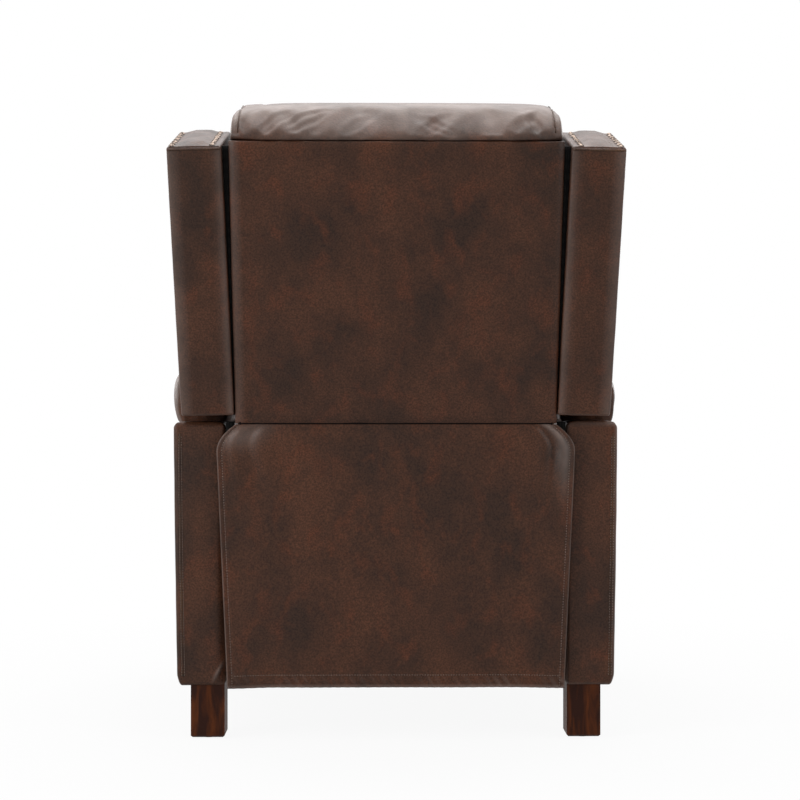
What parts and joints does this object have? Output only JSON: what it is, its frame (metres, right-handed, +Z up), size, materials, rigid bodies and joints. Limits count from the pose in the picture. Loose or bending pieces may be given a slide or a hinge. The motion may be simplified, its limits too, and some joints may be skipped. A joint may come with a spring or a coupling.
{
  "type": "wingback recliner",
  "caption": "High-leg push-back wing recliner in mottled brown leather, with a leaning winged back, rolled arm pads, a fold-out footrest and a leather flap hanging behind",
  "frame": {"origin": "on the floor under the middle of the chair's bounding box, back upright and footrest folded", "axes": "+Z is up, -Y is the way the sitter faces, +X is the sitter's left"},
  "size_m": [0.792, 0.93, 1.063],
  "materials": {
    "leather": "satin",
    "padded_leather": "satin",
    "frame_wood": "matte",
    "leg_wood": "satin",
    "steel": "satin",
    "antique_brass": "satin",
    "black_cloth": "matte",
    "black_rubber": "matte",
    "nylon": "matte"
  },
  "bodies": {
    "base": {"left_arm_frame": "frame_wood", "right_arm_frame": "frame_wood", "left_arm_cover": "leather", "right_arm_cover": "leather", "left_arm_pad": "padded_leather", "right_arm_pad": "padded_leather", "left_arm_front": "padded_leather", "right_arm_front": "padded_leather", "arm_nails": "antique_brass", "front_stretcher": "frame_wood", "rear_stretcher": "frame_wood", "front_left_leg": "leg_wood", "front_right_leg": "leg_wood", "rear_left_leg": "leg_wood", "rear_right_leg": "leg_wood", "leg_bolts": "steel", "leg_glides": "nylon", "dust_cover": "black_cloth", "left_side_plate": "steel", "right_side_plate": "steel", "left_plate_cleat": "frame_wood", "right_plate_cleat": "frame_wood", "plate_screws": "steel", "seat_tracks": "steel", "back_pivot_pins": "steel", "pivot_washers": "nylon", "back_stops": "black_rubber", "rear_cross_bar": "steel", "return_springs": "steel"},
    "back": {"back_frame": "frame_wood", "back_springs": "steel", "outer_back_panel": "leather", "back_cushion": "padded_leather", "head_pillow": "padded_leather", "left_wing_frame": "frame_wood", "right_wing_frame": "frame_wood", "left_wing_cover": "leather", "right_wing_cover": "leather", "left_wing_nails": "antique_brass", "right_wing_nails": "antique_brass", "wing_bolts": "steel", "back_brackets": "steel", "bracket_screws": "steel", "flap_tack_strip": "frame_wood"},
    "flap": {"rear_flap": "leather"},
    "seat": {"seat_frame": "frame_wood", "seat_springs": "steel", "seat_deck": "black_cloth", "seat_cushion": "padded_leather", "seat_front_band": "leather", "carriage_plates": "steel", "seat_shoes": "nylon", "lower_pivot_rivets": "steel"},
    "lower_link": {"lower_links": "steel", "link_cross_tube": "steel", "elbow_rivets": "steel"},
    "upper_link": {"upper_links": "steel"},
    "footrest": {"footrest_board": "frame_wood", "footrest_pad": "padded_leather", "footrest_brackets": "steel"}
  },
  "joints": [
    {"name": "back_recline", "type": "hinge", "parent": "base", "child": "back", "pos_m": [0, 0.2733, 0.46], "axis": [-1, 0, 0], "range_deg": [0, 35], "stiffness_Nm_per_rad": 70, "springref_deg": -25.78},
    {"name": "seat_glide", "type": "slide", "parent": "base", "child": "seat", "axis": [0, -1, 0], "range_m": [0, 0.0735], "deforming": ["return_springs"]},
    {"name": "flap_swing", "type": "hinge", "parent": "back", "child": "flap", "pos_m": [0, 0.3308, 0.53], "axis": [-1, 0, 0], "range_deg": [-35.1, 0]},
    {"name": "lower_link_swing", "type": "hinge", "parent": "seat", "child": "lower_link", "pos_m": [0, -0.238, 0.3012], "axis": [-1, 0, 0], "range_deg": [0, 104.1]},
    {"name": "upper_link_swing", "type": "hinge", "parent": "lower_link", "child": "upper_link", "pos_m": [0, -0.15426, 0.1816], "axis": [-1, 0, 0], "range_deg": [-93.6, 0]},
    {"name": "footrest_turn", "type": "hinge", "parent": "upper_link", "child": "footrest", "pos_m": [0, -0.37134, 0.24797], "axis": [-1, 0, 0], "range_deg": [0, 79.1]}
  ],
  "couplings": [
    {"joint": "seat_glide", "follows": "back_recline", "m_per_rad": 0.11999},
    {"joint": "flap_swing", "follows": "back_recline", "ratio": -1},
    {"joint": "lower_link_swing", "follows": "back_recline", "ratio": 2.9714},
    {"joint": "upper_link_swing", "follows": "back_recline", "ratio": -2.6714},
    {"joint": "footrest_turn", "follows": "back_recline", "ratio": 2.2571}
  ]
}
